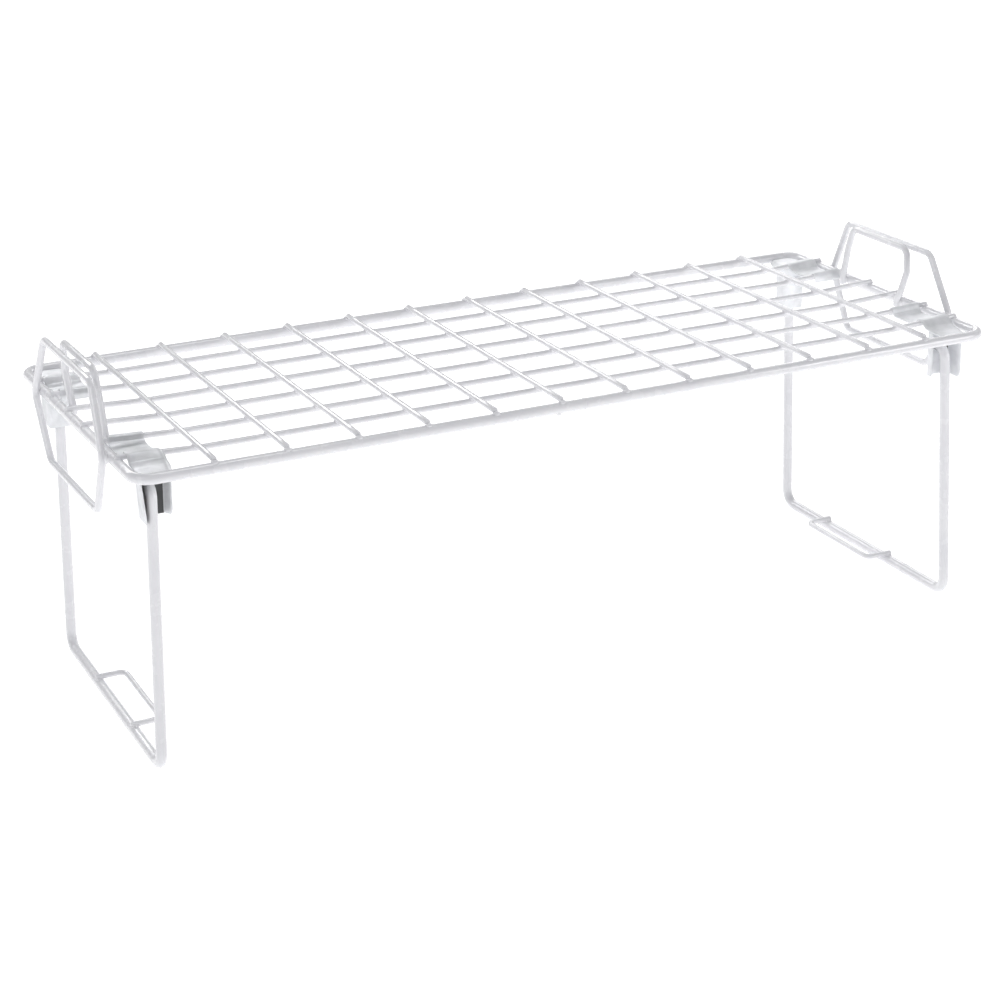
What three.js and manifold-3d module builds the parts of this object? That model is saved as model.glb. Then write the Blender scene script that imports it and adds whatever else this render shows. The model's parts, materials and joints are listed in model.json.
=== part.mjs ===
// Folding wire shelf riser: a welded wire deck on two fold-down U legs, with loops at
// both ends that steady a second riser stacked on top.
// Millimetres. +X runs along the shelf, +Y towards its back, +Z up. The origin is on the
// worktop, under the middle of the deck.

import * as THREE from 'three';
import { mergeVertices } from 'three/addons/utils/BufferGeometryUtils.js';
import { ConvexGeometry } from 'three/addons/geometries/ConvexGeometry.js';
import Module from 'manifold-3d';

const wasm = await Module();
wasm.setup();

// ---- Driving dimensions ----

const gap = 0.3; // air left between neighbouring pieces

const railRadius = 3; // perimeter wire and legs
const gridRadius = 1.6; // deck wires and foot guides
const loopRadius = 2; // stacking loops

const railLength = 515; // perimeter wire, centre line to centre line
const railDepth = 204;
const railCornerRadius = 10;
const standHeight = 166.5; // leg bar centre up to perimeter wire centre

const crossCount = 12;
const crossPitch = 39.3;
const crossLength = 203;
const longCount = 6;
const longPitch = 28.94;
const longLength = 508;

const legFootX = 249.3; // the legs splay outwards a little
const legHalfDepth = 88;
const pivotDrop = 10; // hinge line below the perimeter wire centre
const pivotInnerEnd = 74; // inner end of the hinge stub
const legTopBend = 6;
const legFootBend = 9;

// Hinge line, from the middle of the shelf, and how far each leg stands askew at its top
// and foot: the brackets are all of one hand, so neither hinge line is quite square.
const leftLeg = { end: -1, topX: 244.3, topSkew: 1.7, footSkew: 1.7 };
const rightLeg = { end: 1, topX: 243.3, topSkew: 2.5, footSkew: 0 };

const railSides = 12;
const loopSides = 10;
const gridSides = 8;

// ---- Heights worked out from them ----

const legBarZ = railRadius * Math.cos(Math.PI / railSides);
const railZ = legBarZ + standHeight;
const crossZ = railZ + railRadius + gap + gridRadius;
const longZ = crossZ - 2 * gridRadius - gap;
const pivotZ = railZ - pivotDrop;

// ---- Finishes ----

function whiteCoat() {
  return new THREE.MeshStandardMaterial({ color: 0xf1f1ef, roughness: 0.32, metalness: 0 });
}

function zincSheet() {
  return new THREE.MeshStandardMaterial({ color: 0xb4b7bd, roughness: 0.34, metalness: 0.9 });
}

const shelf = new THREE.Group();

function addPiece(name, geometry, material) {
  const mesh = new THREE.Mesh(geometry, material);
  mesh.name = name;
  shelf.add(mesh);
  return mesh;
}

// ---- Bent wire ----

// Turns each corner of a route into an arc of the given radius.
function bendCorners(corners, radius, stepsPerBend, closed = false) {
  const route = [];
  corners.forEach((corner, index) => {
    const isEnd = !closed && (index === 0 || index === corners.length - 1);
    if (isEnd) {
      route.push(corner.clone());
      return;
    }
    const before = corners[(index + corners.length - 1) % corners.length];
    const after = corners[(index + 1) % corners.length];
    const inward = corner.clone().sub(before).normalize();
    const onward = after.clone().sub(corner).normalize();
    const turn = inward.angleTo(onward);
    const side = onward.clone().addScaledVector(inward, -Math.cos(turn)).normalize();
    const start = corner.clone().addScaledVector(inward, -radius * Math.tan(turn / 2));
    const centre = start.clone().addScaledVector(side, radius);
    for (let step = 0; step <= stepsPerBend; step += 1) {
      const angle = (turn * step) / stepsPerBend;
      const point = centre.clone().addScaledVector(side, -radius * Math.cos(angle));
      route.push(point.addScaledVector(inward, radius * Math.sin(angle)));
    }
  });
  return route;
}

// A curve that visits its points at even steps, so straight runs stay one segment long.
class WireRoute extends THREE.Curve {
  constructor(points, closed = false) {
    super();
    this.points = closed ? [...points, points[0]] : points;
    this.closed = closed;
    this.steps = this.points.length - 1;
  }

  getPointAt(u, target = new THREE.Vector3()) {
    const place = u * this.steps;
    const index = Math.min(Math.floor(place + 1e-6), this.steps - 1);
    return target.lerpVectors(this.points[index], this.points[index + 1], place - index);
  }

  heading(index) {
    const wrapped = this.closed ? (index + this.steps) % this.steps : index;
    const clamped = Math.min(Math.max(wrapped, 0), this.steps - 1);
    return this.points[clamped + 1].clone().sub(this.points[clamped]).normalize();
  }

  getTangentAt(u, target = new THREE.Vector3()) {
    const index = Math.round(u * this.steps);
    return target.copy(this.heading(index - 1)).add(this.heading(index)).normalize();
  }
}

// A regular polygon with a flat side square to the bend of the wire.
function wireSection(radius, sides, turn = 0) {
  const corners = [];
  for (let side = 0; side < sides; side += 1) {
    const angle = ((side + 0.5) / sides) * 2 * Math.PI + turn;
    corners.push(new THREE.Vector2(radius * Math.cos(angle), radius * Math.sin(angle)));
  }
  return new THREE.Shape(corners);
}

function openWire(points, radius, sides, turn = 0) {
  const route = new WireRoute(points);
  return new THREE.ExtrudeGeometry(wireSection(radius, sides, turn), {
    steps: route.steps,
    extrudePath: route,
  });
}

// A wire whose ends are butt-welded to each other, so it has no ends to close.
function endlessWire(points, radius, sides) {
  const route = new WireRoute(points, true);
  const geometry = new THREE.TubeGeometry(route, route.steps, radius, sides, true);
  geometry.deleteAttribute('normal');
  geometry.deleteAttribute('uv');
  return mergeVertices(geometry);
}

function straightWire(length, radius, sides) {
  const flatSideUp = Math.PI / sides;
  return new THREE.CylinderGeometry(radius, radius, length, sides, 1, false, flatSideUp);
}

// ---- Joining and cutting ----

function toSolid(geometry) {
  const bare = geometry.clone();
  bare.deleteAttribute('normal');
  bare.deleteAttribute('uv');
  const merged = mergeVertices(bare, 1e-4);
  const mesh = new wasm.Mesh({
    numProp: 3,
    vertProperties: new Float32Array(merged.attributes.position.array),
    triVerts: new Uint32Array(merged.index.array),
  });
  return new wasm.Manifold(mesh);
}

function toGeometry(solid) {
  const mesh = solid.getMesh();
  const geometry = new THREE.BufferGeometry();
  geometry.setAttribute('position', new THREE.BufferAttribute(mesh.vertProperties, 3));
  geometry.setIndex(new THREE.BufferAttribute(mesh.triVerts, 1));
  geometry.computeVertexNormals();
  return geometry;
}

// ---- Perimeter wire ----

function perimeterWire() {
  const x = railLength / 2;
  const y = railDepth / 2;
  const corners = [[-x, -y], [x, -y], [x, y], [-x, y]];
  const route = corners.map(([cx, cy]) => new THREE.Vector3(cx, cy, railZ));
  return endlessWire(bendCorners(route, railCornerRadius, 6, true), railRadius, railSides);
}

addPiece('perimeter_wire', perimeterWire(), whiteCoat());

// ---- Deck wires ----

// The lengthwise wires run between the end rails, just under the cross wires.
for (let number = 1; number <= longCount; number += 1) {
  const geometry = straightWire(longLength, gridRadius, gridSides);
  const wire = addPiece(`long_wire_${number}`, geometry, whiteCoat());
  wire.rotation.z = Math.PI / 2;
  wire.position.set(0, ((longCount + 1) / 2 - number) * longPitch, longZ);
}

// The cross wires lie over them and rest on the front and back rails.
for (let number = 1; number <= crossCount; number += 1) {
  const geometry = straightWire(crossLength, gridRadius, gridSides);
  const label = String(number).padStart(2, '0');
  const wire = addPiece(`cross_wire_${label}`, geometry, whiteCoat());
  wire.position.set((number - (crossCount + 1) / 2) * crossPitch, 0, crossZ);
}

// ---- Stacking loops ----

const outerTopHalf = 43;
const outerMiddleHalf = 62;
const outerBottomDrop = 35;
const outerLoopX = railLength / 2 + railRadius + gap + loopRadius;

// A six-sided loop on the outside of the end rail, half above the deck and half below.
// It leans inwards a little, above the rail more than below it.
function outerLoop(end, topRise) {
  const middleX = end * outerLoopX;
  const topX = end * (outerLoopX - 2.4);
  const bottomX = end * (outerLoopX - 0.9);
  const top = railZ + topRise;
  const bottom = railZ - outerBottomDrop;
  const corners = [
    new THREE.Vector3(topX, -outerTopHalf, top),
    new THREE.Vector3(topX, outerTopHalf, top),
    new THREE.Vector3(middleX, outerMiddleHalf, railZ),
    new THREE.Vector3(bottomX, outerTopHalf, bottom),
    new THREE.Vector3(bottomX, -outerTopHalf, bottom),
    new THREE.Vector3(middleX, -outerMiddleHalf, railZ),
  ];
  return endlessWire(bendCorners(corners, 7, 4, true), loopRadius, loopSides);
}

const innerFootX = railLength / 2 - railRadius - gap - loopRadius;
const innerTopX = 253.4;

// A smaller loop above the deck, its feet welded to the inner side of the end rail. One
// leg comes down nearly straight and the other turns in at the bottom. Given as y and the
// height above the rail. The loop at the other end is turned half round.
function innerLoop(topRise) {
  const bends = [
    [-37, -3],
    [-36.5, 3],
    [-33, 21],
    [-28.5, topRise],
    [28.5, topRise],
    [30, 21],
    [25, 7],
    [21.5, 2],
    [21.5, -3],
  ];
  const lean = (rise) => (Math.max(rise - 3, 0) * (innerTopX - innerFootX)) / (topRise - 3);
  const corners = bends.map(
    ([y, rise]) => new THREE.Vector3(-innerFootX - lean(rise), y, railZ + rise),
  );
  return openWire(bendCorners(corners, 6, 4), loopRadius, loopSides);
}

// The loops at the right end came out a little lower.
addPiece('outer_loop_left', outerLoop(-1, 37), whiteCoat());
addPiece('outer_loop_right', outerLoop(1, 35.2), whiteCoat());
addPiece('inner_loop_left', innerLoop(37), whiteCoat());
addPiece('inner_loop_right', innerLoop(34.6), whiteCoat()).rotation.z = Math.PI;

// ---- Corner brackets ----

const sheet = 1; // sheet thickness
const hookWireY = 1.5 * longPitch;
const humpWireY = 2.5 * longPitch;
const humpRadius = gridRadius + gap + sheet / 2;
const wireLevel = longZ - railZ;
const lipY = railDepth / 2 - railRadius - gap - sheet / 2 - 0.5;
const channelWallY = 78;
const channelBottom = -28;
const shallowWallEnd = 84.2; // stays inside the leg, so the leg can swing past
const deepWallEnd = 92; // stands beside the leg and stops it opening too far

// The side view of the top plate, as the middle of the sheet: it hooks over one
// lengthwise wire, rides over the next and turns down inside the rail.
function plateLine() {
  const line = [new THREE.Vector2(hookWireY - humpRadius, wireLevel - 2)];
  for (let step = 0; step <= 8; step += 1) {
    const angle = Math.PI * (1 - step / 8);
    const y = hookWireY + humpRadius * Math.cos(angle);
    line.push(new THREE.Vector2(y, wireLevel + humpRadius * Math.sin(angle)));
  }
  line.push(new THREE.Vector2(hookWireY + humpRadius + 0.4, 0.4));
  line.push(new THREE.Vector2(hookWireY + humpRadius + 1.6, 0));
  line.push(new THREE.Vector2(humpWireY - humpRadius - 2.4, 0));
  for (let step = 0; step <= 4; step += 1) {
    const angle = Math.PI * (0.75 - (0.5 * step) / 4);
    const y = humpWireY + humpRadius * Math.cos(angle);
    line.push(new THREE.Vector2(y, wireLevel + humpRadius * Math.sin(angle)));
  }
  line.push(new THREE.Vector2(humpWireY + humpRadius + 2.4, 0));
  line.push(new THREE.Vector2(lipY - 1.2, 0));
  line.push(new THREE.Vector2(lipY, -1.2));
  line.push(new THREE.Vector2(lipY, -5));
  return line;
}

// Gives a bent line the thickness of the sheet.
function thickenLine(line, thickness) {
  const sideA = [];
  const sideB = [];
  line.forEach((point, index) => {
    const before = line[Math.max(index - 1, 0)];
    const after = line[Math.min(index + 1, line.length - 1)];
    const first = point.clone().sub(before).normalize();
    const second = after.clone().sub(point).normalize();
    const along = first.clone().add(second).normalize();
    const across = new THREE.Vector2(-along.y, along.x);
    const mitre = index > 0 && index < line.length - 1 ? Math.abs(along.dot(second)) : 1;
    const reach = thickness / 2 / mitre;
    sideA.push(point.clone().addScaledVector(across, reach));
    sideB.push(point.clone().addScaledVector(across, -reach));
  });
  return new THREE.Shape([...sideA, ...sideB.reverse()]);
}

// Stands a shape drawn as (y, z) up in the YZ plane, between two x values.
function extrudeAlongX(shape, fromX, toX) {
  const geometry = new THREE.ExtrudeGeometry(shape, { depth: toX - fromX, bevelEnabled: false });
  geometry.applyMatrix4(new THREE.Matrix4().set(0, 0, 1, fromX, 1, 0, 0, 0, 0, 1, 0, 0, 0, 0, 0, 1));
  return geometry;
}

function outlineShape(points) {
  return new THREE.Shape(points.map(([u, v]) => new THREE.Vector2(u, v)));
}

// The plan view of the top plate: straight on the funnel side, waisted on the flap side,
// with both end corners cut back to clear the bend of the rail.
function platePlan() {
  const outline = outlineShape([
    [-11, hookWireY - 4],
    [6, hookWireY - 4],
    [6, humpWireY - 6],
    [6.5, humpWireY - 2],
    [6.5, lipY - 2.2],
    [3, lipY + sheet],
    [-6.3, lipY + sheet],
    [-10.2, lipY - 2.6],
    [-9.8, humpWireY + 12],
    [-10.4, humpWireY + 5],
    [-11.3, humpWireY - 4],
    [-11, humpWireY - 12],
  ]);
  const plan = new THREE.ExtrudeGeometry(outline, { depth: 20, bevelEnabled: false });
  return plan.translate(0, 0, -10);
}

// The wall that the leg's hinge stub passes through.
function channelBackWall() {
  const outline = outlineShape([
    [-9, 0],
    [-9, channelBottom],
    [2.2, channelBottom],
    [4.6, channelBottom + 3],
    [5.4, 0],
  ]);
  const hole = new THREE.Path();
  hole.absarc(0, -pivotDrop, railRadius + gap + 0.1, 0, 2 * Math.PI, true);
  outline.holes.push(hole);
  const wall = new THREE.ExtrudeGeometry(outline, {
    depth: sheet,
    bevelEnabled: false,
    curveSegments: 16,
  });
  return wall.rotateX(Math.PI / 2).translate(0, channelWallY + sheet, 0);
}

// A side wall of the channel, flared like one side of a funnel. Each x is the wall's
// outer face, at the back and at the mouth, along the top edge and along the foot.
function channelWall({ top, foot, mouthY }) {
  const inward = -Math.sign(top[0]) * sheet;
  const corners = [];
  const addEdge = (x, y, z) => {
    corners.push(new THREE.Vector3(x, y, z), new THREE.Vector3(x + inward, y, z));
  };
  addEdge(top[0], channelWallY, 0);
  addEdge(top[1], mouthY, 0);
  addEdge(foot[0], channelWallY, channelBottom);
  addEdge(foot[0] + (foot[1] - foot[0]) * 0.6, mouthY - 2.5, channelBottom);
  addEdge(foot[1], mouthY, channelBottom + 2.5);
  return new ConvexGeometry(corners);
}

const deepFlap = { top: [-9.4, -9.6], foot: [-9, -9.6], mouthY: deepWallEnd };
const shallowFlap = { top: [-9.4, -10.8], foot: [-9, -9.6], mouthY: shallowWallEnd };
const deepFunnel = { top: [5.6, 7.5], foot: [4.9, 5.3], mouthY: deepWallEnd };
const shallowFunnel = { top: [6, 6.8], foot: [5.8, 6.2], mouthY: shallowWallEnd };

// One stamping, drawn for a back corner about the leg's hinge: y points out of the shelf.
function bracket(flap, funnel) {
  const strip = toSolid(extrudeAlongX(thickenLine(plateLine(), sheet), -14, 14));
  const plate = strip.intersect(toSolid(platePlan()));
  const walls = [channelBackWall(), channelWall(flap), channelWall(funnel)];
  return toGeometry(walls.reduce((solid, wall) => solid.add(toSolid(wall)), plate));
}

// The same stamping serves all four corners, turned half round at the front. Only the
// wall on the outer side of each leg is deep, because the leg folds the other way.
const brackets = [
  { name: 'bracket_front_left', leg: leftLeg, side: -1, flap: shallowFlap, funnel: deepFunnel },
  { name: 'bracket_front_right', leg: rightLeg, side: -1, flap: deepFlap, funnel: shallowFunnel },
  { name: 'bracket_back_left', leg: leftLeg, side: 1, flap: deepFlap, funnel: shallowFunnel },
  { name: 'bracket_back_right', leg: rightLeg, side: 1, flap: shallowFlap, funnel: deepFunnel },
];

// The lines of a leg's hinge and of its foot bar, as x at a given y.
const hingeX = (leg, y) => leg.end * leg.topX + (leg.topSkew * y) / legHalfDepth;
const barX = (leg, y, x = legFootX) => leg.end * x + (leg.footSkew * y) / legHalfDepth;

brackets.forEach(({ name, leg, side, flap, funnel }) => {
  const piece = addPiece(name, bracket(flap, funnel), zincSheet());
  piece.position.set(hingeX(leg, side * channelWallY), 0, railZ);
  piece.rotation.z = side < 0 ? Math.PI : 0;
});

// ---- Legs ----

// A U of heavy wire. Both ends turn inwards at the top to make the hinge stubs.
function legWire(leg) {
  const side = (sign) => [
    new THREE.Vector3(hingeX(leg, sign * pivotInnerEnd), sign * pivotInnerEnd, pivotZ),
    new THREE.Vector3(hingeX(leg, sign * legHalfDepth), sign * legHalfDepth, pivotZ),
    new THREE.Vector3(barX(leg, sign * legHalfDepth), sign * legHalfDepth, legBarZ),
  ];
  const [stubStart, topCorner, footCorner] = side(-1);
  const [stubEnd, farTopCorner, farFootCorner] = side(1);
  const nearTop = bendCorners([stubStart, topCorner, footCorner], legTopBend, 5).slice(0, -1);
  const farTop = bendCorners([farFootCorner, farTopCorner, stubEnd], legTopBend, 5).slice(1);
  const foot = bendCorners([topCorner, footCorner, farFootCorner, farTopCorner], legFootBend, 5);
  const route = [...nearTop, ...foot.slice(1, -1), ...farTop];
  const splay = Math.atan((footCorner.x - topCorner.x) / (pivotZ - legBarZ));
  const twist = (leg.topSkew - leg.footSkew) / legHalfDepth;
  return openWire(route, railRadius, railSides, 2 * splay - twist); // flat underneath
}

// ---- Foot guides ----

const guideHalfDepth = 34;
const guideShift = 5; // the guides are welded on a little off centre
const guideInnerX = 234;
const guideOuterX = 251.8;

// A thin U laid on top of the leg's foot bar, pointing inwards.
function footGuide(leg) {
  const z = legBarZ + railRadius + gap + gridRadius;
  const at = (x, offset) => {
    const y = leg.end * guideShift + offset;
    return new THREE.Vector3(barX(leg, y, x), y, z);
  };
  const corners = [
    at(guideOuterX, -guideHalfDepth),
    at(guideInnerX, -guideHalfDepth),
    at(guideInnerX, guideHalfDepth),
    at(guideOuterX, guideHalfDepth),
  ];
  return openWire(bendCorners(corners, 4, 4), gridRadius, gridSides);
}

addPiece('leg_left', legWire(leftLeg), whiteCoat());
addPiece('leg_right', legWire(rightLeg), whiteCoat());
addPiece('foot_guide_left', footGuide(leftLeg), whiteCoat());
addPiece('foot_guide_right', footGuide(rightLeg), whiteCoat());

export default shelf;
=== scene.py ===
"""Looks for the folding wire shelf riser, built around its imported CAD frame.

Metres throughout. MM turns the object's millimetre sizes into metres. Left is -X, the
front is -Y, and the riser stands on z = 0.
"""

import json
import math

import bmesh
import bpy
from mathutils import Matrix, Vector, noise


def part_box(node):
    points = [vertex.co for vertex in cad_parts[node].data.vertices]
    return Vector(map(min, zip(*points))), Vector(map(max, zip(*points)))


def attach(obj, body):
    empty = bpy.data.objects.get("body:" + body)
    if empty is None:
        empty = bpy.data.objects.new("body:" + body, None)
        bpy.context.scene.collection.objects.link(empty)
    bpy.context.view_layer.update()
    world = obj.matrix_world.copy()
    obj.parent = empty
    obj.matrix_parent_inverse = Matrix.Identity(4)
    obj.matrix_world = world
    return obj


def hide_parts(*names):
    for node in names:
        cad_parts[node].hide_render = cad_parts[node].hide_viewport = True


MM = 0.001

noise.seed_set(5)  # without a seed noise_vector differs from run to run

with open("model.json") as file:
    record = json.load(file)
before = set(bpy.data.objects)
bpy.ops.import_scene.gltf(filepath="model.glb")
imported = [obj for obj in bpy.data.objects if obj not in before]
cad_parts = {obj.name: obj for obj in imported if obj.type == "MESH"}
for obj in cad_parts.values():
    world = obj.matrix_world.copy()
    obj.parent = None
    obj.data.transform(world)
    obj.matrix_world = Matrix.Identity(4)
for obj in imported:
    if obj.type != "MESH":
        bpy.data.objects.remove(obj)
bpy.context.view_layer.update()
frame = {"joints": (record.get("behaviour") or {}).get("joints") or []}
riser = bpy.data.collections.new("riser")
bpy.context.scene.collection.children.link(riser)


# ---- Sizes read from the frame ----


def centre(node):
    low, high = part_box(node)
    return (low + high) / 2


rail_low, rail_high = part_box("perimeter_wire")
RAIL_R = (rail_high.z - rail_low.z) / 2
RAIL_Z = (rail_high.z + rail_low.z) / 2
RAIL_X = rail_high.x - RAIL_R
RAIL_Y = rail_high.y - RAIL_R
GRID_R = 1.6 * MM
LOOP_R = 2.0 * MM
CROSS_Z = RAIL_Z + RAIL_R + 1.25 * MM
LONG_Z = CROSS_Z - 2 * GRID_R + 0.25 * MM
CROSS_X = [centre(f"cross_wire_{i:02d}").x for i in range(1, 13)]
LONG_Y = [centre(f"long_wire_{i}").y for i in range(1, 7)]
JOINTS = {j["name"]: Vector(j["pos_m"]) for j in frame["joints"]}
JOINT_AXES = {j["name"]: Vector(j["axis"]) for j in frame["joints"]}
ENDS = ((-1, "left"), (1, "right"))

AX, AY = Vector((1, 0, 0)), Vector((0, 1, 0))


def clamp(value):
    return min(max(value, 0), 1)


# ---- Materials ----

WHITE = (1, 1, 1)


def grey(value):
    return (value,) * 3


def new_material(name):
    material = bpy.data.materials.new(name)
    material.use_nodes = True
    tree = material.node_tree
    shader = next(n for n in tree.nodes if n.type == "BSDF_PRINCIPLED")
    return material, tree, shader


def add(tree, kind, **settings):
    node = tree.nodes.new(kind)
    for key, value in settings.items():
        setattr(node, key, value)
    return node


def object_coords(tree, scale=(1, 1, 1)):
    coords = add(tree, "ShaderNodeTexCoord")
    mapping = add(tree, "ShaderNodeMapping")
    mapping.inputs["Scale"].default_value = scale
    tree.links.new(coords.outputs["Object"], mapping.inputs["Vector"])
    return mapping.outputs["Vector"]


def noise_node(tree, vector, scale, detail):
    node = add(tree, "ShaderNodeTexNoise")
    node.inputs["Scale"].default_value = scale
    node.inputs["Detail"].default_value = detail
    tree.links.new(vector, node.inputs["Vector"])
    return node.outputs["Fac"]


def ramp(tree, value, stops):
    """stops are (place from 0 to 1, colour)."""
    node = add(tree, "ShaderNodeValToRGB")
    elements = node.color_ramp.elements
    while len(elements) < len(stops):
        elements.new(0.5)
    for element, (place, colour) in zip(elements, stops):
        element.position = place
        element.color = (*colour, 1)
    tree.links.new(value, node.inputs["Fac"])
    return node.outputs["Color"]


def multiply(tree, a, b):
    node = add(tree, "ShaderNodeMix", data_type="RGBA", blend_type="MULTIPLY")
    node.inputs["Factor"].default_value = 1.0
    tree.links.new(a, node.inputs["A"])
    tree.links.new(b, node.inputs["B"])
    return node.outputs["Result"]


def bump(tree, shader, layers):
    """layers are (height output, strength, distance), laid one on another."""
    last = None
    for height, strength, distance in layers:
        node = add(tree, "ShaderNodeBump")
        node.inputs["Strength"].default_value = strength
        node.inputs["Distance"].default_value = distance
        tree.links.new(height, node.inputs["Height"])
        if last is not None:
            tree.links.new(last, node.inputs["Normal"])
        last = node.outputs["Normal"]
    tree.links.new(last, shader.inputs["Normal"])


def coated_wire_material():
    """Glossy white dipped plastic, a little cloudy, with an uneven skin and fine dust."""
    material, tree, shader = new_material("white_dipped_coating")
    vector = object_coords(tree)
    clouds = noise_node(tree, vector, 38, 3)
    peel = noise_node(tree, vector, 620, 2)
    runs = noise_node(tree, vector, 150, 2)
    specks = noise_node(tree, vector, 900, 1)
    base = ramp(tree, clouds, [(0.3, (0.78, 0.78, 0.81)), (0.7, (0.84, 0.84, 0.86))])
    dust = ramp(tree, specks, [(0.74, WHITE), (0.82, (0.93, 0.93, 0.92))])
    tree.links.new(multiply(tree, base, dust), shader.inputs["Base Color"])
    gloss = ramp(tree, runs, [(0.3, grey(0.20)), (0.7, grey(0.30))])
    tree.links.new(gloss, shader.inputs["Roughness"])
    shader.inputs["Coat Weight"].default_value = 0.7
    shader.inputs["Coat Roughness"].default_value = 0.12
    bump(tree, shader, [(peel, 0.05, 0.1 * MM), (runs, 0.10, 0.3 * MM)])
    return material


def zinc_material(name, tint, metallic):
    """Plated sheet with brushed streaks and dull stains. tint scales its brightness, which makes
    the darker copy painted with shade and the paler copies painted with light.
    """
    material, tree, shader = new_material(name)
    vector = object_coords(tree)
    streaks = noise_node(tree, object_coords(tree, (60, 700, 60)), 1, 3)
    clouds = noise_node(tree, vector, 180, 4)
    stains = noise_node(tree, vector, 55, 2)
    dark = tuple(tint * c for c in (0.76, 0.77, 0.79))
    light = tuple(tint * c for c in (0.85, 0.86, 0.88))
    base = ramp(tree, clouds, [(0.35, dark), (0.65, light)])
    dull = ramp(tree, stains, [(0.45, WHITE), (0.75, (0.80, 0.81, 0.80))])
    tree.links.new(multiply(tree, base, dull), shader.inputs["Base Color"])
    shader.inputs["Metallic"].default_value = metallic
    gloss = ramp(tree, streaks, [(0.3, grey(0.40)), (0.7, grey(0.55))])
    tree.links.new(gloss, shader.inputs["Roughness"])
    bump(tree, shader, [(streaks, 0.05, 0.1 * MM), (clouds, 0.12, 0.2 * MM)])
    return material


COATING = coated_wire_material()
ZINC = zinc_material("bright_zinc_plate", 1.0, 0.55)
# A near-black copy of the zinc: painted shade for the recess inside a bracket's channel.
SHADED_ZINC = zinc_material("painted_shade_zinc_recess", 0.10, 0.55)
# A paler, non-metallic copy of the zinc: painted light on the channel's other inner faces.
PAINTED_LIGHT_ZINC = zinc_material("painted_light_zinc_face", 1.1, 0.0)
# A paler copy of the zinc: painted light on the right brackets' plates.
PAINTED_LIGHT_PLATE_ZINC = zinc_material("painted_light_zinc_plate", 1.1, 0.2)


# ---- Pieces ----


def new_piece(name, bm, materials, body, nodes):
    """Makes bm one smooth piece that rides on body and stands for the CAD nodes."""
    bmesh.ops.recalc_face_normals(bm, faces=bm.faces)
    mesh = bpy.data.meshes.new(name)
    bm.to_mesh(mesh)
    bm.free()
    for material in materials:
        mesh.materials.append(material)
    for polygon in mesh.polygons:
        polygon.use_smooth = True
    piece = bpy.data.objects.new(name, mesh)
    riser.objects.link(piece)
    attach(piece, body)
    if nodes:
        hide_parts(*nodes)


def coated_piece(name, bm, body, nodes):
    new_piece(name, bm, [COATING], body, nodes)


# ---- Bent wire ----

RAIL_SIDES = 20
LOOP_SIDES = 16
GRID_SIDES = 14
WIRE_STEP = 0.012  # between the points of a straight run
WAVER = 0.06 * MM
SWELL = 0.006
DOME_RINGS = 4
DOME_DEPTH = 0.55  # of the radius


def bend_corners(corners, radius, steps, closed=False):
    """The corners of a route, each turned into an arc. radius is one or one for each."""
    radii = radius if isinstance(radius, list) else [radius] * len(corners)
    route = []
    count = len(corners)
    for i, corner in enumerate(corners):
        if not closed and i in (0, count - 1):
            route.append(corner.copy())
            continue
        inward = (corner - corners[i - 1]).normalized()
        onward = (corners[(i + 1) % count] - corner).normalized()
        turn = inward.angle(onward)
        if turn < 1e-4:
            route.append(corner.copy())
            continue
        side = (onward - inward * math.cos(turn)).normalized()
        middle = corner - inward * radii[i] * math.tan(turn / 2) + side * radii[i]
        for step in range(steps + 1):
            angle = turn * step / steps
            out = inward * radii[i] * math.sin(angle)
            route.append(middle - side * radii[i] * math.cos(angle) + out)
    return route


def resample(route, closed):
    """Adds points along the long straight runs, so that a wire can waver a little."""
    points = []
    count = len(route)
    for i in range(count if closed else count - 1):
        a, b = route[i], route[(i + 1) % count]
        pieces = max(1, round((b - a).length / WIRE_STEP))
        points += [a.lerp(b, k / pieces) for k in range(pieces)]
    if not closed:
        points.append(route[-1].copy())
    return points


def wire_stations(route, radius, closed):
    """The (place, direction, share of the radius) of each ring of a wire. The coating
    gives an open wire domed ends."""
    count = len(route)

    def segment(i):
        return (route[(i + 1) % count] - route[i % count]).normalized()

    def direction(i):
        if not closed and i == 0:
            return segment(0)
        if not closed and i == count - 1:
            return segment(count - 2)
        return (segment(i - 1) + segment(i)).normalized()

    stations = [(place, direction(i), 1.0) for i, place in enumerate(route)]
    if closed:
        return stations
    start, along_start, _ = stations[0]
    end, along_end, _ = stations[-1]
    depth = radius * DOME_DEPTH
    head = []
    tail = []
    for k in range(DOME_RINGS, 0, -1):
        angle = math.pi / 2 * k / DOME_RINGS
        size = math.cos(angle)
        inset = depth * (1 - math.sin(angle))
        head.append((start + along_start * inset, along_start, size))
        tail.append((end - along_end * inset, along_end, size))
    head.append((start + along_start * depth, along_start, 1.0))
    tail.append((end - along_end * depth, along_end, 1.0))
    return head + stations[1:-1] + tail[::-1]


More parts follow.
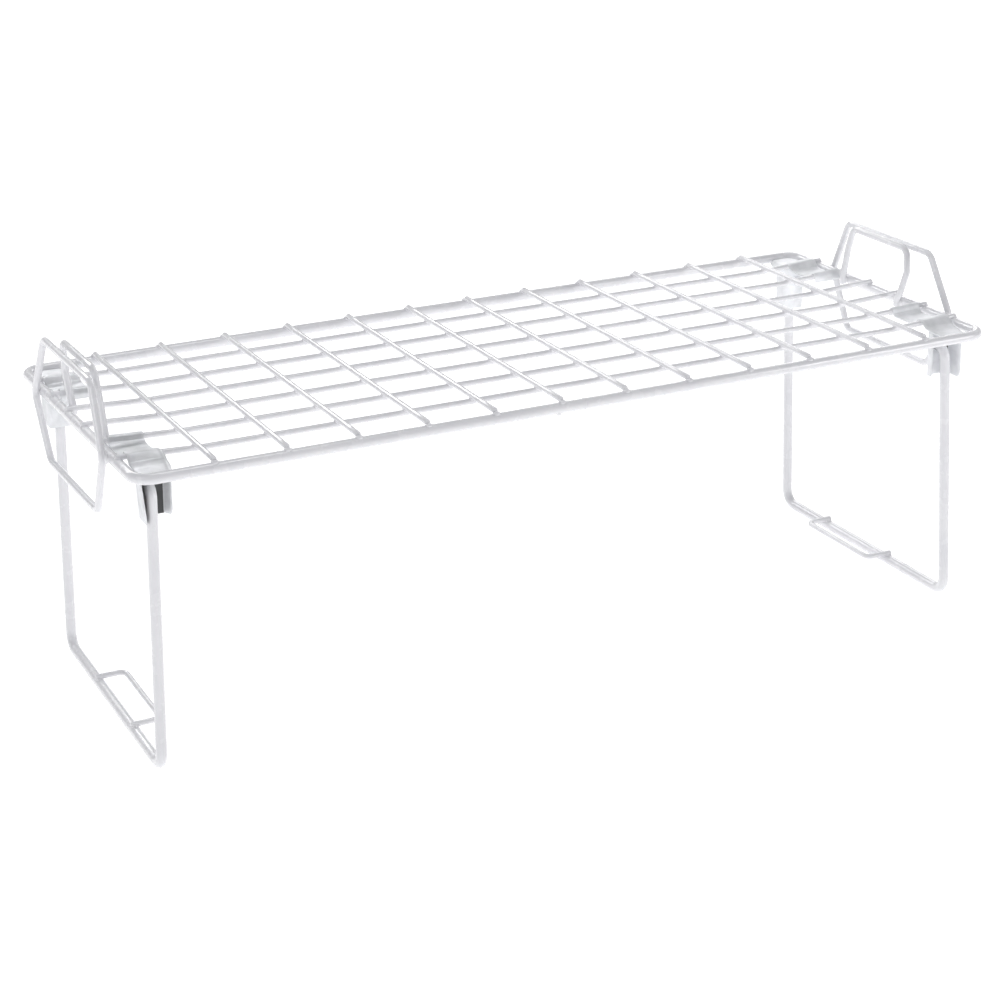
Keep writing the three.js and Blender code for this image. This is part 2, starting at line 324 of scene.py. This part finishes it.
def sweep(bm, route, radius, sides, closed, seed, waver=WAVER):
    """Adds a round wire along the route, wavering and swelling slightly."""
    stations = wire_stations(resample(route, closed), radius, closed)
    previous = stations[0][1]
    normal = previous.orthogonal().normalized()
    if abs(previous.z) < 0.9:
        normal = (Vector((0, 0, 1)) - previous * previous.z).normalized()
    rings = []
    for place, along, size in stations:
        turn = previous.rotation_difference(along)
        normal = (turn @ normal).normalized()
        normal = (normal - along * normal.dot(along)).normalized()
        previous = along
        across = along.cross(normal)
        drift = noise.noise_vector(place * 22 + Vector((seed, 0, 0))) * waver
        if size < 1e-6:
            rings.append([bm.verts.new(place + drift)])
            continue
        swell = 1 + SWELL * noise.noise(place * 90 + Vector((0, seed, 0)))
        ring = []
        for k in range(sides):
            angle = 2 * math.pi * (k + 0.5) / sides
            offset = (normal * math.cos(angle) + across * math.sin(angle)) * radius * size * swell
            ring.append(bm.verts.new(place + drift + offset))
        rings.append(ring)
    for a, b in zip(rings, rings[1:]):
        for k in range(sides):
            m = (k + 1) % sides
            if len(a) == 1:
                bm.faces.new((a[0], b[m], b[k]))
            elif len(b) == 1:
                bm.faces.new((a[k], a[m], b[0]))
            else:
                bm.faces.new((a[k], a[m], b[m], b[k]))
    if closed:
        # The last ring may be turned against the first, so the nearest corners are joined.
        last, first = rings[-1], rings[0]
        shift = min(range(sides), key=lambda s: (last[0].co - first[s].co).length)
        for k in range(sides):
            m = (k + 1) % sides
            bm.faces.new(
                (last[k], last[m], first[(m + shift) % sides], first[(k + shift) % sides])
            )


def wire_piece(node, route, radius, sides, body, seed, closed=False):
    bm = bmesh.new()
    sweep(bm, route, radius, sides, closed, seed)
    coated_piece(f"{node}_coated", bm, body, [node])


# ---- Welds ----

SEAM_RING = (0.9 * MM, 3.25 * MM, 3.25 * MM)  # left round a rail by its butt weld


def add_bead(bm, place, along, across, sizes, seed):
    """A lump of weld under the coating: an ellipsoid, slightly uneven."""
    up = along.cross(across).normalized()
    made = bmesh.ops.create_icosphere(bm, subdivisions=3, radius=1.0)
    for vert in made["verts"]:
        p = vert.co.copy()
        lump = 1 + 0.06 * noise.noise(p * 1.7 + Vector((seed, seed * 0.37, 0)))
        p = Vector((p.x * sizes[0], p.y * sizes[1], p.z * sizes[2])) * lump
        vert.co = place + along * p.x + across * p.y + up * p.z


# ---- Perimeter wire ----

RAIL_BEND = 10 * MM
RAIL_BEND_STEPS = 10
SEAM_X = -6.3 * MM  # where the two ends of the wire are butt-welded


def build_rail():
    signs = ((-1, -1), (1, -1), (1, 1), (-1, 1))
    corners = [Vector((sx * RAIL_X, sy * RAIL_Y, RAIL_Z)) for sx, sy in signs]
    bent = bend_corners(corners, RAIL_BEND, RAIL_BEND_STEPS, True)
    # The loop starts at its butt weld, on the straight run after the first corner.
    start = [Vector((SEAM_X, -RAIL_Y, RAIL_Z))]
    first_arc = RAIL_BEND_STEPS + 1
    route = start + bent[first_arc:] + bent[:first_arc]
    bm = bmesh.new()
    sweep(bm, route, RAIL_R, RAIL_SIDES, True, 3.1, 0.08 * MM)
    coated_piece("perimeter_wire_coated", bm, "shelf", ["perimeter_wire"])


# ---- Deck wires ----

CROSS_REACH = 101.2 * MM
LONG_REACH = 259.2 * MM
LONG_BEND = 30 * MM
LONG_BEND_STEPS = 4
# Each end of a lengthwise wire rises from WIRE_RISE_X to lie over the end rail.
WIRE_RISE_X = 214 * MM
WIRE_TOP_X = 255 * MM
WIRE_TIP_Z = RAIL_Z + 3.3 * MM


def build_deck():
    for i, x in enumerate(CROSS_X, 1):
        route = [Vector((x, -CROSS_REACH, CROSS_Z)), Vector((x, CROSS_REACH, CROSS_Z))]
        wire_piece(f"cross_wire_{i:02d}", route, GRID_R, GRID_SIDES, "shelf", i * 1.7)
    half = ((LONG_REACH, WIRE_TIP_Z), (WIRE_TOP_X, WIRE_TIP_Z), (WIRE_RISE_X, LONG_Z))
    for i, y in enumerate(LONG_Y, 1):
        corners = [Vector((-x, y, z)) for x, z in half]
        corners += [Vector((x, y, z)) for x, z in half[::-1]]
        route = bend_corners(corners, LONG_BEND, LONG_BEND_STEPS)
        wire_piece(f"long_wire_{i}", route, GRID_R, GRID_SIDES, "shelf", 20 + i * 2.3)


CROSSING_BEAD = (1.9 * MM, 1.9 * MM, 1.25 * MM)
CROSS_END_BEAD = (2.2 * MM, 2.0 * MM, 1.4 * MM)
LONG_END_BEAD = (2.9 * MM, 2.3 * MM, 2.0 * MM)
DRIP = (1.5 * MM, 1.1 * MM, 1.3 * MM)


def build_deck_welds():
    """The beads where deck wires cross and end. Each takes the next seed."""
    beads = []
    for x in CROSS_X:
        beads += [(Vector((x, y, (CROSS_Z + LONG_Z) / 2)), CROSSING_BEAD) for y in LONG_Y]
        for side in (-1, 1):
            place = Vector((x, side * RAIL_Y, RAIL_Z + RAIL_R - 0.1 * MM))
            beads.append((place, CROSS_END_BEAD))
    for y in LONG_Y:
        for side in (-1, 1):
            beads.append((Vector((side * RAIL_X, y, RAIL_Z + 1.6 * MM)), LONG_END_BEAD))
    bm = bmesh.new()
    seed = 0.0
    for place, sizes in beads:
        seed += 1.31
        add_bead(bm, place, AX, AY, sizes, seed)
    # A run of coating that dried under the front rail, and the ring of its butt weld.
    drip_place = Vector((-22.3 * MM, -RAIL_Y - 1.2 * MM, RAIL_Z - 2.6 * MM))
    add_bead(bm, drip_place, AX, AY, DRIP, 5.5)
    add_bead(bm, Vector((SEAM_X, -RAIL_Y, RAIL_Z)), AX, AY, SEAM_RING, 9.1)
    coated_piece("deck_weld_beads", bm, "shelf", [])


# ---- Stacking loops ----

OUTER_SIDE_Y = 62 * MM  # the side corners, level with the end rail
OUTER_BAR_Y = 43 * MM  # the ends of the top and bottom bars
OUTER_LEAN_TOP = 2.3 * MM
OUTER_LEAN_BOTTOM = 0.8 * MM
OUTER_SAG = {"left": 1.7 * MM, "right": 0.9 * MM}  # the top bars are bent down a little
OUTER_BEND = 7 * MM
OUTER_BEND_STEPS = 8
INNER_LEAN = 1.2 * MM
INNER_BEND = 6 * MM
INNER_BEND_STEPS = 6
INNER_FOOT_RISE = 3  # millimetres above the rail's middle; the loop leans from there up
# The sides of an inner loop, as (y, height) millimetres, up to the top bar and down again.
INNER_UP = [(-37, -3), (-36.5, INNER_FOOT_RISE), (-33, 21)]
INNER_DOWN = [(30, 21), (25, 7), (21.5, 2), (21.5, -3)]
INNER_BAR_Y = 28.5
LOOP_BITE = 0.1 * MM  # how far a loop is pressed into the rail


def build_outer_loop(side, name):
    outer = f"outer_loop_{name}"
    low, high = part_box(outer)
    middle_x = side * (RAIL_X + RAIL_R + LOOP_R - LOOP_BITE)
    top_x = middle_x - side * OUTER_LEAN_TOP
    bottom_x = middle_x - side * OUTER_LEAN_BOTTOM
    top, bottom = high.z - LOOP_R - OUTER_SAG[name], low.z + LOOP_R
    corners = [
        Vector((top_x, -OUTER_BAR_Y, top)),
        Vector((top_x, OUTER_BAR_Y, top)),
        Vector((middle_x, OUTER_SIDE_Y, RAIL_Z)),
        Vector((bottom_x, OUTER_BAR_Y, bottom)),
        Vector((bottom_x, -OUTER_BAR_Y, bottom)),
        Vector((middle_x, -OUTER_SIDE_Y, RAIL_Z)),
    ]
    route = bend_corners(corners, OUTER_BEND, OUTER_BEND_STEPS, True)
    wire_piece(outer, route, LOOP_R, LOOP_SIDES, "shelf", 41 + side, closed=True)


def build_inner_loop(side, name):
    """An open loop. The one at the right end is turned half round."""
    inner = f"inner_loop_{name}"
    rise = (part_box(inner)[1].z - LOOP_R - RAIL_Z) / MM
    foot_x = RAIL_X - RAIL_R - LOOP_R + LOOP_BITE
    corners = []
    for y, height in [*INNER_UP, (-INNER_BAR_Y, rise), (INNER_BAR_Y, rise), *INNER_DOWN]:
        share = max(height - INNER_FOOT_RISE, 0) / (rise - INNER_FOOT_RISE)
        x = side * (foot_x + share * INNER_LEAN)
        corners.append(Vector((x, -side * y * MM, RAIL_Z + height * MM)))
    route = bend_corners(corners, INNER_BEND, INNER_BEND_STEPS)
    wire_piece(inner, route, LOOP_R, LOOP_SIDES, "shelf", 47 + side)


OUTER_BEAD = (1.5 * MM, 2.6 * MM, 2.8 * MM)
INNER_BEAD = (1.6 * MM, 2.7 * MM, 2.8 * MM)


def build_loop_welds():
    """The beads where loops touch the end rails. Each takes the next seed."""
    bm = bmesh.new()
    seed = 60.0
    for side, _ in ENDS:
        outer_x, inner_x = side * (RAIL_X + RAIL_R), side * (RAIL_X - RAIL_R)
        beads = [(outer_x, y, OUTER_BEAD) for y in (-OUTER_SIDE_Y, OUTER_SIDE_Y)]
        beads += [(inner_x, -side * y, INNER_BEAD) for y in (-37 * MM, 21.5 * MM)]
        for x, y, sizes in beads:
            add_bead(bm, Vector((x, y, RAIL_Z)), AX, AY, sizes, seed)
            seed += 1.7
    coated_piece("loop_weld_beads", bm, "shelf", [])


# ---- Legs and foot guides ----

LEG_FOOT_X = 249.3 * MM
LEG_Y = 88 * MM
STUB_END_Y = 74 * MM  # inner end of a hinge stub
LEG_TOP_BEND = 6 * MM
LEG_FOOT_BEND = 9 * MM
LEG_BEND_STEPS = 10
FOOT_Z = RAIL_R  # the foot bar lies on the ground
FOOT_SKEW = {"left": 1.7 * MM, "right": 0.0}  # at a leg, on the front and back sides

GUIDE_OUTER_X = 251.5
GUIDE_INNER_X = 234
GUIDE_HALF_Y = 34
GUIDE_SHIFT_Y = 5  # the guides are off centre, each its own way
GUIDE_BEND = 4.5 * MM
GUIDE_BEND_STEPS = 8
GUIDE_SINK = 0.7 * MM  # the weld draws a guide down into the foot bar
GUIDE_BEAD = (2.6 * MM, 2.2 * MM, 1.3 * MM)
LEG_SEAM_Y = -48 * MM


def hinge_x(name, y):
    """Where a leg's hinge line is at y."""
    joint = JOINTS[f"{name}_leg_fold"]
    axis = JOINT_AXES[f"{name}_leg_fold"]
    return joint.x + y * axis.x / axis.y


def bar_x(name, x, y):
    """A place at x on a leg's foot, moved as the foot bar stands askew."""
    return x + FOOT_SKEW[name] * y / LEG_Y


def build_leg(side, name):
    pivot_z = JOINTS[f"{name}_leg_fold"].z
    foot_x = side * LEG_FOOT_X
    half = []
    for sign in (-1, 1):
        stub_y, y = sign * STUB_END_Y, sign * LEG_Y
        points = [
            Vector((hinge_x(name, stub_y), stub_y, pivot_z)),
            Vector((hinge_x(name, y), y, pivot_z)),
            Vector((bar_x(name, foot_x, y), y, FOOT_Z)),
        ]
        half.append(points)
    bends = [0, LEG_TOP_BEND, LEG_FOOT_BEND, LEG_FOOT_BEND, LEG_TOP_BEND, 0]
    route = bend_corners(half[0] + half[1][::-1], bends, LEG_BEND_STEPS)
    wire_piece(f"leg_{name}", route, RAIL_R, RAIL_SIDES, f"{name}_leg", 70 + side)


def build_foot_guide(side, name):
    body = f"{name}_leg"
    z = FOOT_Z + RAIL_R + GRID_R - GUIDE_SINK
    corners = []
    for x, offset in (
        (GUIDE_OUTER_X, -GUIDE_HALF_Y),
        (GUIDE_INNER_X, -GUIDE_HALF_Y),
        (GUIDE_INNER_X, GUIDE_HALF_Y),
        (GUIDE_OUTER_X, GUIDE_HALF_Y),
    ):
        y = (side * GUIDE_SHIFT_Y + offset) * MM
        corners.append(Vector((bar_x(name, side * x * MM, y), y, z)))
    route = bend_corners(corners, GUIDE_BEND, GUIDE_BEND_STEPS)
    wire_piece(f"foot_guide_{name}", route, GRID_R, GRID_SIDES, body, 80 + side)

    bm = bmesh.new()
    for offset in (-GUIDE_HALF_Y, GUIDE_HALF_Y):
        y = (side * GUIDE_SHIFT_Y + offset) * MM
        place = Vector((bar_x(name, side * LEG_FOOT_X, y), y, FOOT_Z + RAIL_R - 0.2 * MM))
        add_bead(bm, place, AX, AY, GUIDE_BEAD, 90 + offset)
    if name == "right":
        # The ring left where the two ends of this leg's wire were butt-welded.
        add_bead(bm, Vector((LEG_FOOT_X, LEG_SEAM_Y, FOOT_Z)), AY, AX, SEAM_RING, 17)
    coated_piece(f"foot_guide_{name}_weld_beads", bm, body, [])


# ---- Corner brackets ----
# A bracket is worked out in millimetres as the back one: x across the plate from the hinge
# line, y outwards from the middle of the shelf, z up from the middle of the rail.

SHEET = 0.95 * MM
SHEET_ROUNDING = 0.3  # how far the edge of the sheet bulges, of its thickness
HOOK_Y = abs(LONG_Y[4]) / MM  # the wires a bracket hooks over and rides over
HUMP_Y = abs(LONG_Y[5]) / MM
HOOK_STEPS = 12
LIP_Y = 97.9
WALL_Y = 78.0
WALL_TOP = -1.3
WALL_FOOT = -28.0
WALL_ROWS = 24
FLAP_COLUMNS = 5  # across each flat run of the channel
CHANNEL_BEND_STEPS = 5
PLATE_COLUMNS = 22
PLATE_STEP = 2.0

# Edges of the plate in plan, as (y, x) of the flap side and of the funnel side.
FLAP_EDGE = [(39, -10.6), (46, -10.9), (55, -10.4), (61, -11.0), (68, -11.6), (73, -12.0)]
FLAP_EDGE += [(80, -12.4), (86, -11.4), (91, -10.3), (95.2, -9.2), (99, -6.4)]
FUNNEL_EDGE = [(39, 7.4), (50, 8.2), (66, 8.0), (70, 7.6), (90, 7.3), (94, 6.6), (99, 3.6)]


def plate_line():
    """Side view of the top plate in (y, z), from under the hook out to the lip."""
    level = (LONG_Z - RAIL_Z) / MM
    reach = GRID_R / MM + 0.45
    top = level + reach - 0.3
    line = [Vector((HOOK_Y - reach, level - 2.2))]
    for step in range(HOOK_STEPS + 1):
        angle = math.pi * (1 - step / HOOK_STEPS)
        line.append(Vector((HOOK_Y + reach * math.cos(angle), level + reach * math.sin(angle))))
    # Each corner of the rest, with the radius of its bend.
    rest = [
        (HOOK_Y + reach, level, 0),
        (HOOK_Y + reach + 0.3, 0.1, 0.5),
        (HUMP_Y - 9.0, 0.2, 8),
        (HUMP_Y - 5.0, 0.8, 5),
        (HUMP_Y - 1.8, top, 3),
        (HUMP_Y + 1.8, top, 3),
        (HUMP_Y + 6.0, 0.9, 6),
        (HUMP_Y + 12.0, 0.1, 12),
        (LIP_Y, -0.1, 1.5),
        (LIP_Y + 0.1, -4.2, 0),
    ]
    bent = bend_corners([Vector((0, y, z)) for y, z, _ in rest], [r for _, _, r in rest], 5)
    line += [Vector((p.y, p.z)) for p in bent[1:]]
    dense = [line[0]]
    for a, b in zip(line, line[1:]):
        pieces = max(1, round((b - a).length / PLATE_STEP))
        dense += [a.lerp(b, k / pieces) for k in range(1, pieces + 1)]
    return dense


def edge_at(edge, y):
    for (y0, x0), (y1, x1) in zip(edge, edge[1:]):
        if y <= y1:
            t = clamp((y - y0) / (y1 - y0))
            return x0 + (x1 - x0) * t * t * (3 - 2 * t)
    return edge[-1][1]


def sheet_shell(bm, grid, shaded=None):
    """A bent sheet with rounded edges: grid holds the points of its middle surface. If
    shaded is given, the sheet's lower side takes the second material in those columns and
    the third one in the others."""
    rows, columns = len(grid), len(grid[0])

    def normal(i, j):
        along = grid[min(i + 1, rows - 1)][j] - grid[max(i - 1, 0)][j]
        across = grid[i][min(j + 1, columns - 1)] - grid[i][max(j - 1, 0)]
        return along.cross(across).normalized()

    normals = [[normal(i, j) for j in range(columns)] for i in range(rows)]

    def skin(offset):
        return [
            [bm.verts.new(grid[i][j] + normals[i][j] * offset) for j in range(columns)]
            for i in range(rows)
        ]

    upper, lower = skin(SHEET / 2), skin(-SHEET / 2)
    for i in range(rows - 1):
        for j in range(columns - 1):
            bm.faces.new((upper[i][j], upper[i + 1][j], upper[i + 1][j + 1], upper[i][j + 1]))
            corners = (lower[i][j], lower[i][j + 1], lower[i + 1][j + 1], lower[i + 1][j])
            face = bm.faces.new(corners)
            if shaded is not None:
                face.material_index = 1 if j in shaded else 2

    rim = [(i, 0) for i in range(rows)] + [(rows - 1, j) for j in range(1, columns)]
    rim += [(i, columns - 1) for i in range(rows - 2, -1, -1)]
    rim += [(0, j) for j in range(columns - 2, 0, -1)]
    bulge = []
    for k, (i, j) in enumerate(rim):
        (before_i, before_j), (after_i, after_j) = rim[k - 1], rim[(k + 1) % len(rim)]
        run = grid[after_i][after_j] - grid[before_i][before_j]
        out = run.cross(normals[i][j]).normalized()
        inside = grid[min(max(i, 1), rows - 2)][min(max(j, 1), columns - 2)]
        if out.dot(grid[i][j] - inside) < 0:
            out = -out
        bulge.append(bm.verts.new(grid[i][j] + out * SHEET * SHEET_ROUNDING))
    for k, (i0, j0) in enumerate(rim):
        m = (k + 1) % len(rim)
        i1, j1 = rim[m]
        bm.faces.new((upper[i0][j0], upper[i1][j1], bulge[m], bulge[k]))
        bm.faces.new((bulge[k], bulge[m], lower[i1][j1], lower[i0][j0]))


def wire_rise(x):
    """How far a lengthwise wire has risen, at x, on its way over the end rail."""
    return (WIRE_TIP_Z - LONG_Z) * clamp((abs(x) - WIRE_RISE_X) / (WIRE_TOP_X - WIRE_RISE_X))


def plate_grid(leg, side, seed):
    """The top plate. It follows the rising wires and is rolled down along its edges."""
    middle_x = hinge_x(leg, side * WALL_Y * MM)
    grid = []
    for y, z in plate_line():
        low, high = edge_at(FLAP_EDGE, y), edge_at(FUNNEL_EDGE, y)
        # The rolled edges start past the hump and fade where the lip turns down.
        roll = clamp((y - 66) / 8) * clamp(1 + z / 2)
        near_wire = max(
            0.0,
            1 - max(HOOK_Y - y, y - HOOK_Y - 2.6, 0) / 2.4,
            1 - max(abs(y - HUMP_Y) - 2.4, 0) / 3.0,
        )
        row = []
        for k in range(PLATE_COLUMNS + 1):
            t = 0.5 - 0.5 * math.cos(math.pi * k / PLATE_COLUMNS)
            x = low + (high - low) * t
            drop = 0.22 * roll * max(low + 3.0 - x, 0) ** 2
            drop += 0.25 * roll * max(x - high + 1.4, 0) ** 2
            lift = near_wire * wire_rise(middle_x + side * x * MM) / MM
            dish = 0.12 * noise.noise(Vector((x * 0.12, y * 0.10, seed)))
            row.append(Vector((x * MM, y * MM, (z + lift - drop + dish) * MM)))
        grid.append(row)
    return grid


def wall_x(wall, which, v):
    """Middle of a channel wall's sheet, v of the way down."""
    top, foot = wall["top"][which], wall["foot"][which]
    return top + (foot - top) * v - math.copysign(0.5, top)


def channel_grid(flap, funnel):
    """The folded channel under the plate: flap wall, back wall, funnel wall. flap and
    funnel give the wall's outer x at the back wall and at the mouth, at the top and at
    the foot, and the y of its mouth."""
    back_y = WALL_Y + 0.5
    flats = (0, CHANNEL_BEND_STEPS + 1, 2 * (CHANNEL_BEND_STEPS + 1))
    grid = []
    for i in range(WALL_ROWS + 1):
        v = i / WALL_ROWS
        z = WALL_TOP + (WALL_FOOT - WALL_TOP) * v
        # Rounds the outer corner of each wall's foot.
        cut = max(0.0, (v - 0.84) / 0.16)
        trim = 2.6 * (1 - math.sqrt(max(0.0, 1 - cut * cut)))
        corners = [
            Vector((wall_x(flap, 1, v), flap["mouth"] - trim, z)),
            Vector((wall_x(flap, 0, v), back_y, z)),
            Vector((wall_x(funnel, 0, v), back_y, z)),
            Vector((wall_x(funnel, 1, v), funnel["mouth"] - trim * 0.6, z)),
        ]
        bent = bend_corners(corners, [0, 1.5, 1.5, 0], CHANNEL_BEND_STEPS)
        row = []
        for number, (a, b) in enumerate(zip(bent, bent[1:])):
            pieces = FLAP_COLUMNS if number in flats else 1
            row += [a.lerp(b, k / pieces) for k in range(pieces)]
        row.append(bent[-1])
        grid.append([p * MM for p in row])
    return grid


# The wall on a leg's outer side is deep. The other one is shallow, clear of its swing.
DEEP_FLAP = {"top": (-9.2, -8.8), "foot": (-9.0, -8.8), "mouth": 92.0}
SHALLOW_FLAP = {"top": (-10.2, -12.4), "foot": (-9.4, -11.8), "mouth": 84.1}
DEEP_FUNNEL = {"top": (5.7, 7.5), "foot": (4.95, 5.3), "mouth": 92.0}
SHALLOW_FUNNEL = {"top": (6.0, 6.8), "foot": (5.8, 6.2), "mouth": 84.1}

# Columns of the channel's inner side painted with shade; the inner side's other columns take a
# paler copy of the zinc, painted with light.
RECESS = range(8, 25)
FLAP_CORNER = range(6, 9)
NO_RECESS = range(0)

BRACKETS = (
    ("front_left", "left", -1, SHALLOW_FLAP, DEEP_FUNNEL, RECESS, ZINC),
    ("front_right", "right", -1, DEEP_FLAP, SHALLOW_FUNNEL, FLAP_CORNER, PAINTED_LIGHT_PLATE_ZINC),
    ("back_left", "left", 1, DEEP_FLAP, SHALLOW_FUNNEL, NO_RECESS, ZINC),
    ("back_right", "right", 1, SHALLOW_FLAP, DEEP_FUNNEL, NO_RECESS, PAINTED_LIGHT_PLATE_ZINC),
)


def build_brackets():
    for number, (name, leg, side, flap, funnel, shaded, plate) in enumerate(BRACKETS):
        bm = bmesh.new()
        sheet_shell(bm, plate_grid(leg, side, number * 3.1))
        sheet_shell(bm, channel_grid(flap, funnel), shaded)
        turn = Matrix.Rotation(math.pi if side < 0 else 0, 4, "Z")
        place = Matrix.Translation(Vector((hinge_x(leg, side * WALL_Y * MM), 0, RAIL_Z)))
        bm.transform(place @ turn)
        # The second slot paints shade into the channel's recess and the third paints light on its
        # other inner faces; the right brackets' plates are painted lighter as well.
        materials = [plate, SHADED_ZINC, PAINTED_LIGHT_ZINC]
        node = f"bracket_{name}"
        new_piece(f"{node}_plated", bm, materials, "shelf", [node])


# ---- Floor, light and camera ----

FLOOR_SIZE = 30
FLOOR_Z = -0.0002
# The floor glows by itself, more so past the reach of the lamps: (distance, strength).
GLOW_NEAR = (0.8, 0.5)
GLOW_FAR = (3.0, 1.0)
WORLD_STRENGTH = 0.5

# Where the camera stands and which way it looks.
CAMERA_AZIMUTH = math.radians(-25.80)
CAMERA_ELEVATION = math.radians(20.87)
CAMERA_ROLL = math.radians(-0.974)
CAMERA_PLACE = Vector((-573.6 * MM, -1169.2 * MM, RAIL_Z + 405.8 * MM))
CAMERA_LENS = 85.17

# Name, place, target, size of the rectangle, watts.
LAMPS = (
    ("key", (-1.3, -0.7, 1.0), (-0.2, 0, 0.15), (0.6, 0.6), 5.0),
    ("fill", (1.8, 0.6, 1.5), (0, 0, 0.1), (1.2, 1.2), 3.0),
    ("top", (0.2, 0.1, 1.8), (0, 0, 0.1), (1.0, 0.3), 5.0),
    ("front_right", (1.0, -1.2, 0.45), (0.3, 0, 0.15), (0.4, 0.6), 4.2),
    ("back", (-0.3, 1.75, 1.2), (0, 0, 0.15), (1.2, 0.3), 8.0),
    ("back_right", (0.68, 0.75, 0.52), (0.25, 0, 0.17), (0.4, 0.4), 1.3),
)


def build_stage():
    bm = bmesh.new()
    bmesh.ops.create_grid(bm, x_segments=2, y_segments=2, size=FLOOR_SIZE)
    mesh = bpy.data.meshes.new("floor")
    bm.to_mesh(mesh)
    bm.free()
    floor = bpy.data.objects.new("floor", mesh)
    floor.location.z = FLOOR_Z
    bpy.context.scene.collection.objects.link(floor)
    material, tree, shader = new_material("pale_floor")
    grain = noise_node(tree, object_coords(tree), 3, 2)
    tone = ramp(tree, grain, [(0.3, grey(0.93)), (0.7, grey(0.95))])
    tree.links.new(tone, shader.inputs["Base Color"])
    shader.inputs["Roughness"].default_value = 0.9
    shader.inputs["Specular IOR Level"].default_value = 0.1
    shader.inputs["Emission Color"].default_value = (1, 1, 1, 1)
    distance = add(tree, "ShaderNodeVectorMath", operation="LENGTH")
    tree.links.new(object_coords(tree), distance.inputs[0])
    glow = add(tree, "ShaderNodeMapRange")
    for end, (reach, strength) in (("Min", GLOW_NEAR), ("Max", GLOW_FAR)):
        glow.inputs[f"From {end}"].default_value = reach
        glow.inputs[f"To {end}"].default_value = strength
    tree.links.new(distance.outputs["Value"], glow.inputs["Value"])
    tree.links.new(glow.outputs["Result"], shader.inputs["Emission Strength"])
    mesh.materials.append(material)


def build_world():
    """Bright behind and at the sides, dimmer on the side that faces the front."""
    world = bpy.data.worlds.new("studio")
    bpy.context.scene.world = world
    world.use_nodes = True
    tree = world.node_tree
    background = next(n for n in tree.nodes if n.type == "BACKGROUND")
    coords = add(tree, "ShaderNodeTexCoord")
    split = add(tree, "ShaderNodeSeparateXYZ")
    tree.links.new(coords.outputs["Generated"], split.inputs["Vector"])
    stops = [(0.0, (0.45, 0.45, 0.47)), (0.55, (0.95, 0.95, 0.97)), (1.0, WHITE)]
    tone = ramp(tree, split.outputs["Y"], stops)
    tree.links.new(tone, background.inputs["Color"])
    background.inputs["Strength"].default_value = WORLD_STRENGTH


def area_light(name, place, target, size, watts):
    data = bpy.data.lights.new(name, "AREA")
    data.shape = "RECTANGLE"
    data.size, data.size_y = size
    data.energy = watts
    lamp = bpy.data.objects.new(name, data)
    lamp.location = place
    aim = Vector(target) - Vector(place)
    lamp.rotation_euler = aim.to_track_quat("-Z", "Y").to_euler()
    lamp.visible_camera = False
    bpy.context.scene.collection.objects.link(lamp)


def build_camera():
    level = math.cos(CAMERA_ELEVATION)
    back = Vector(
        (
            math.sin(CAMERA_AZIMUTH) * level,
            -math.cos(CAMERA_AZIMUTH) * level,
            math.sin(CAMERA_ELEVATION),
        )
    )
    right = Vector((math.cos(CAMERA_AZIMUTH), math.sin(CAMERA_AZIMUTH), 0))
    up = back.cross(right)
    right_rolled = right * math.cos(CAMERA_ROLL) + up * math.sin(CAMERA_ROLL)
    up_rolled = up * math.cos(CAMERA_ROLL) - right * math.sin(CAMERA_ROLL)
    rotation = Matrix((right_rolled, up_rolled, back)).transposed()
    data = bpy.data.cameras.new("camera")
    data.sensor_width = 36
    data.lens = CAMERA_LENS
    data.clip_end = 100
    camera = bpy.data.objects.new("camera", data)
    camera.matrix_world = Matrix.Translation(CAMERA_PLACE) @ rotation.to_4x4()
    bpy.context.scene.collection.objects.link(camera)
    bpy.context.scene.camera = camera


# ---- The riser in its studio ----

build_rail()
build_deck()
build_deck_welds()
for end in ENDS:
    build_outer_loop(*end)
    build_inner_loop(*end)
build_loop_welds()
for end in ENDS:
    build_leg(*end)
    build_foot_guide(*end)
build_brackets()

build_stage()
build_world()
for lamp_settings in LAMPS:
    area_light(*lamp_settings)
build_camera()
bpy.context.scene.view_settings.view_transform = "Standard"
